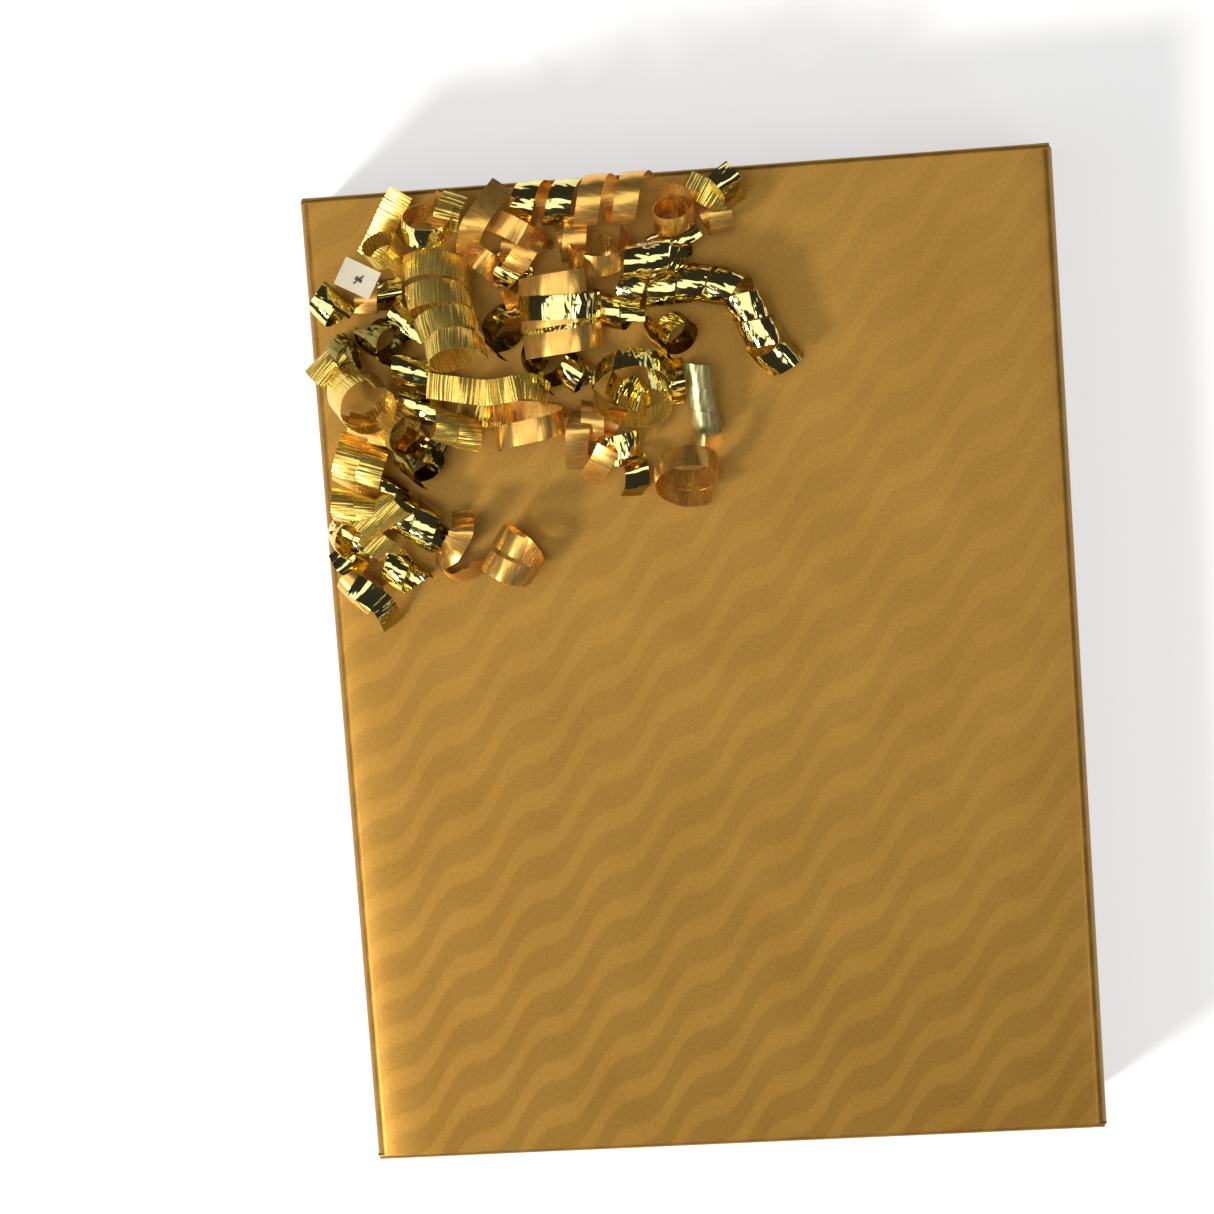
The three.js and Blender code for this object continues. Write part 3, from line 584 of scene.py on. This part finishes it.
def end_flap(end, kind):
    """A flap with the fold that joins it to the sleeve."""
    sign = 1 if end == "head" else -1
    outer = kind == "outer"
    flap_y = OUTER_FLAP_Y if outer else INNER_FLAP_Y
    length = OUTER_FLAP_LENGTH if outer else INNER_FLAP_LENGTH
    radius = flap_y - SLEEVE_END
    if outer:
        bend = arc((SLEEVE_END, DEPTH - PAPER / 2 - radius), radius, 90, 0)
        far = [flap_y, OUTER_FOLD_Z - length]
    else:
        bend = arc((SLEEVE_END, PAPER / 2 + radius), radius, -90, 0)
        far = [flap_y, INNER_FOLD_Z + length]
    profile = fill(np.concatenate([bend, [far]]), PAPER_STEP)
    run = lengths(profile)
    fold = run[len(bend) - 1]
    grid = flap_grid(profile, run - fold, 1 if outer else -1)
    if outer != (sign < 0):
        grid = grid[:, ::-1]
    grid[..., 1] *= sign
    v = sign * (SLEEVE_END + run)[:, None] * np.ones(grid.shape[1])
    obj = sheet(f"paper_{end}_{kind}_flap", grid, np.stack([grid[..., 0], v], -1), PAPER, GOLD, BACK)
    finish_fold(obj, f"{end}_{kind}_flap")


def side_tuck(end, side):
    """The sheet's side wall tucked in behind the flaps, with the fold that joins it on."""
    sign = 1 if end == "head" else -1
    turn = 1 if side == "right" else -1
    wall = WIDTH / 2 - PAPER / 2
    radius = TUCK_Y - SLEEVE_END
    bend = arc((wall - radius, SLEEVE_END), radius, 0, 90, 6)
    far = [wall - TUCK_LENGTH, TUCK_Y]
    profile = fill(np.concatenate([bend, [far]]), PAPER_STEP)
    run = lengths(profile)
    z = np.linspace(LAYER + PAPER + TUCK_GAP, DEPTH - PAPER - TUCK_GAP, TUCK_COLUMNS)
    grid = np.array([np.stack([np.full_like(z, turn * x), np.full_like(z, sign * y), z], -1)
                     for x, y in profile])
    u = turn * (WIDTH / 2 + DEPTH - grid[..., 2])
    v = sign * (SLEEVE_END + run)[:, None] * np.ones(grid.shape[1])
    uv = np.stack([u, v], -1)
    if turn * sign < 0:
        grid, uv = grid[:, ::-1], uv[:, ::-1]
    obj = sheet(f"paper_{end}_{side}_tuck", grid, uv, PAPER, GOLD, BACK)
    finish_fold(obj, f"{end}_{side}_tuck")


def finish_fold(obj, node):
    """Stands for the CAD panel: hides the panel's node and bakes the sheet's place into its mesh."""
    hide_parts(node)
    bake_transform(obj)


# ---------- the ribbon spray ----------
def curl_lines(curl, step):
    """A curl's middle line and the direction its outer side faces, along it."""
    axis = smooth_line(np.array(curl["axis"]) + [0, 0, DEPTH], 0.5)
    first = curl["radius"]
    last = curl.get("end_radius", first)
    run = lengths(axis) / lengths(axis)[-1]
    around = abs(curl["turns"]) * math.pi * (first + last)
    share = np.linspace(0, 1, max(8, math.ceil(around / step)) + 1)
    middle = spread(axis, run, share)
    ahead = unit(np.gradient(middle, axis=0))
    top = np.where(np.abs(ahead[:, 2:]) > 0.8, [[0, 1, 0]], [[0, 0, 1]])
    top = unit(top - (top * ahead).sum(1, keepdims=True) * ahead)
    right = np.cross(ahead, top)
    angle = math.radians(curl.get("start", 0)) \
        + curl.get("hand", 1) * 2 * math.pi * curl["turns"] * share[:, None]
    outward = np.cos(angle) * top + np.sin(angle) * right
    return middle + (first + (last - first) * share[:, None]) * outward, outward


def strip_lines(strip, step):
    """A loose strip's middle line and the direction its outer side faces, along it."""
    line = smooth_line(np.array(strip["path"]) + [0, 0, DEPTH], step)
    sides = np.array(strip["across"], float)
    places = np.linspace(0, len(sides) - 1, len(line))
    side = spread(sides, np.arange(len(sides)), places)
    ahead = unit(np.gradient(line, axis=0))
    side = unit(side - (side * ahead).sum(1, keepdims=True) * ahead)
    return line, np.cross(ahead, side)


def ribbon(strand, lines, seed, in_cad=True):
    """A strand: slightly hollow across, with small wanders, and ridges where it is crimped."""
    finish = strand["name"].split("_")[0]
    line, outward = lines(strand, ROW_STEP[finish])
    rng = np.random.default_rng(seed)
    run = lengths(line)
    ahead = unit(np.gradient(line, axis=0))
    side = unit(np.cross(outward, ahead))
    most = FOIL_LEAN if finish == "foil" else OTHER_LEAN
    lean = np.radians(most) * ripple(run, rng, LEAN_STEP)[:, None]
    side, outward = (side * np.cos(lean) + outward * np.sin(lean),
                     outward * np.cos(lean) - side * np.sin(lean))
    across = np.linspace(-0.5, 0.5, RIBBON_COLUMNS) * strand.get("width", RIBBON_WIDTH[finish])
    grid = line[:, None] + across[None, :, None] * side[:, None]
    hollow = -HOLLOW * across ** 2
    lift = WANDER * ripple(run, rng, WANDER_STEP)
    if finish == "crimp":
        lift = lift + RIDGE * ripple(run, rng, RIDGE_STEP)
    grid = grid + (hollow[None, :, None] + lift[:, None, None]) * outward[:, None]
    uv = np.stack(np.broadcast_arrays(run[:, None], across[None, :]), -1) + [rng.uniform(0, 90), 0]
    name = strand["name"]
    outer = RIBBON_FINISH[OUTSIDE.get(name, finish)]
    inner = RIBBON_FINISH[INSIDE.get(name, finish)]
    obj = sheet("ribbon_" + name, grid, uv, RIBBON, outer, inner, 60)
    if in_cad:
        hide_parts(name)
    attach(obj, "parcel")


def card():
    """The small pale card, bowed a little, with a cross of two short stitches."""
    lo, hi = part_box("bow_card")
    middle = (lo + hi) / 2
    x = np.linspace(-CARD_HALF[0], CARD_HALF[0], 15)
    y = np.linspace(-CARD_HALF[1], CARD_HALF[1], 11)
    bow = CARD_BOW * (x[:, None] ** 2 - CARD_BOW_FLAT)
    grid = np.stack(np.broadcast_arrays(x[:, None], y[None, :], bow), -1)
    paper = speckled("card_paper", (0.62, 0.58, 0.42), (0.78, 0.74, 0.58), 0.7, 900, 0.03)
    place = Matrix.Translation(middle) @ Matrix.Rotation(math.radians(CARD_TURN), 4, "Z") \
        @ Matrix.Rotation(math.radians(CARD_TILT), 4, "Y")
    obj = sheet("card", grid, grid[..., :2], CARD_THICKNESS, paper, paper)
    obj.matrix_world = place
    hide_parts("bow_card")
    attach(obj, "parcel")
    thread = speckled("dark_thread", (0.05, 0.035, 0.02), (0.12, 0.09, 0.05), 0.8, 3000, 0.02)
    for number, (angle, length) in enumerate(STITCHES):
        along = np.linspace(-length / 2, length / 2, 9)
        across = np.linspace(-STITCH_HALF_WIDTH, STITCH_HALF_WIDTH, 3)
        height = STITCH_BOW * (1 - (2 * along / length) ** 2) + STITCH_HEIGHT
        strip = np.stack(np.broadcast_arrays(along[:, None], across[None, :], height[:, None]), -1)
        stitch = sheet(f"card_stitch_{number}", strip, strip[..., :2], STITCH_THICKNESS, thread,
                       thread)
        offset = Matrix.Translation((STITCH_OFFSET[0] * MM, STITCH_OFFSET[1] * MM, 0))
        stitch.matrix_world = place @ offset @ Matrix.Rotation(math.radians(angle), 4, "Z")
        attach(stitch, "parcel")


def knot():
    """The tied middle of the spray: a ribbon wound twice round, in place of the CAD knot."""
    lo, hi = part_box("bow_knot")
    centre, half = (lo + hi) / 2 / MM, (hi - lo) / 2 / MM
    turns = np.linspace(0, KNOT_TURNS * 2 * math.pi, 160)
    share = turns / turns[-1]
    shrink = 1 - KNOT_SHRINK * share
    line = np.stack([centre.x + (half.x - KNOT_INSET[0]) * shrink * np.cos(turns),
                     centre.y + KNOT_SLANT * (share - 0.5),
                     centre.z + (half.z - KNOT_INSET[1]) * shrink * np.sin(turns)], -1)
    outward = unit((line - np.array(centre)) * [1, 0, 1])
    across = np.linspace(-KNOT_HALF_WIDTH, KNOT_HALF_WIDTH, 5)
    grid = line[:, None] + across[None, :, None] * np.array([0, 1, 0])
    grid = grid - KNOT_HOLLOW * across[None, :, None] ** 2 * outward[:, None]
    uv = np.stack(np.broadcast_arrays(lengths(line)[:, None], across[None, :]), -1)
    obj = sheet("knot", grid, uv, RIBBON, RIBBON_FINISH["foil"], RIBBON_FINISH["foil"])
    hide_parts("bow_knot")
    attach(obj, "parcel")


# ---------- CAD nodes that keep their shape ----------
def dress(nodes, material):
    """Gives CAD nodes a material in place of their plain one."""
    for name in nodes:
        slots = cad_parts[name].data.materials
        slots.clear()
        slots.append(material)


# ---------- light, floor and camera ----------
def area_light(name, place, aim, size, watts, colour=(1, 1, 1)):
    data = bpy.data.lights.new(name, "AREA")
    data.shape = "RECTANGLE"
    data.size, data.size_y = size
    data.energy = watts
    data.color = colour
    lamp = bpy.data.objects.new(name, data)
    bpy.context.scene.collection.objects.link(lamp)
    lamp.location = place
    lamp.rotation_euler = (Vector(aim) - Vector(place)).to_track_quat("-Z", "Y").to_euler()


def studio():
    """A strong key from the lower left, and panels for the metal to mirror, with dark between."""
    aim = (0, 0, DEPTH * MM)
    area_light("key", (-1.35, -1.0, 1.4), aim, (0.36, 0.36), 48, KEY_COLOUR)
    area_light("panel_top", (0.05, 0.05, 1.6), (0.05, 0.05, 0), (1.6, 0.9), 6.6)
    area_light("panel_left", (-0.95, -0.05, 1.3), aim, (0.8, 0.35), 2)
    area_light("panel_right", (1.0, -0.4, 1.2), aim, (0.9, 0.3), 3.4)
    world = bpy.data.worlds.new("studio")
    bpy.context.scene.world = world
    world.use_nodes = True
    nodes, links = world.node_tree.nodes, world.node_tree.links
    nodes["Background"].inputs[0].default_value = (1, 1, 1, 1)
    path = nodes.new("ShaderNodeLightPath")
    level = nodes.new("ShaderNodeMapRange")
    level.inputs["To Min"].default_value = WORLD_LIGHT
    level.inputs["To Max"].default_value = BACKDROP
    links.new(path.outputs["Is Camera Ray"], level.inputs["Value"])
    links.new(level.outputs[0], nodes["Background"].inputs[1])


def floor():
    mesh = bpy.data.meshes.new("floor")
    corners = [(FLOOR_HALF * x, FLOOR_HALF * y, 0) for x, y in ((-1, -1), (1, -1), (1, 1), (-1, 1))]
    mesh.from_pydata(corners, [], [(0, 1, 2, 3)])
    f = Finish("floor", Roughness=0.7, Emission_Strength=FLOOR_GLOW)
    place = f.add("TexCoord", {}, output=3)
    tone = f.noise(place, 3, 2)
    f.set(f.shader, {"Base Color": f.mix(tone, (0.48, 0.48, 0.48), (0.52, 0.52, 0.52)),
                     "Emission Color": (1, 1, 1, 1)})
    mesh.materials.append(f.material)
    obj = bpy.data.objects.new("floor", mesh)
    bpy.context.scene.collection.objects.link(obj)


def camera():
    data = bpy.data.cameras.new("camera")
    data.sensor_width = CAMERA_SENSOR
    data.lens = CAMERA_LENS
    data.clip_start = CAMERA_NEAR
    obj = bpy.data.objects.new("camera", data)
    bpy.context.scene.collection.objects.link(obj)
    axes = [Vector(axis).normalized() for axis in (CAMERA_RIGHT, CAMERA_UP, CAMERA_BACK)]
    turn = Matrix(axes).transposed().to_4x4()
    obj.matrix_world = Matrix.Translation(CAMERA_PLACE) @ turn
    bpy.context.scene.camera = obj


camera()
studio()
floor()
paper_sleeve()
for end in ("head", "foot"):
    end_flap(end, "outer")
    end_flap(end, "inner")
    side_tuck(end, "left")
    side_tuck(end, "right")
seed = 0
for strands, lines, in_cad in ((CURLS, curl_lines, True), (STRIPS, strip_lines, True),
                               (EXTRA_CURLS, curl_lines, False),
                               (EXTRA_STRIPS, strip_lines, False)):
    for strand in strands:
        ribbon(strand, lines, seed, in_cad)
        seed += 1
card()
knot()
dress(["box_base", "box_lid"], speckled(
    "chipboard", (0.42, 0.36, 0.27), (0.56, 0.49, 0.38), 0.9, 700, 0.05))
dress(["tissue_sheet"], speckled("tissue", (0.8, 0.78, 0.74), (0.9, 0.89, 0.86), 0.9, 300, 0.1))
dress(["bow_pad"], speckled("foam", (0.7, 0.68, 0.62), (0.85, 0.83, 0.78), 0.95, 2500, 0.1))
dress(["seam_tape", "head_flap_tape", "foot_flap_tape"], speckled(
    "clear_tape", (0.72, 0.68, 0.54), (0.8, 0.77, 0.65), 0.25, 60, 0.02, Alpha=0.55))

view_settings = bpy.context.scene.view_settings
view_settings.view_transform = "Standard"

bpy.context.view_layer.update()
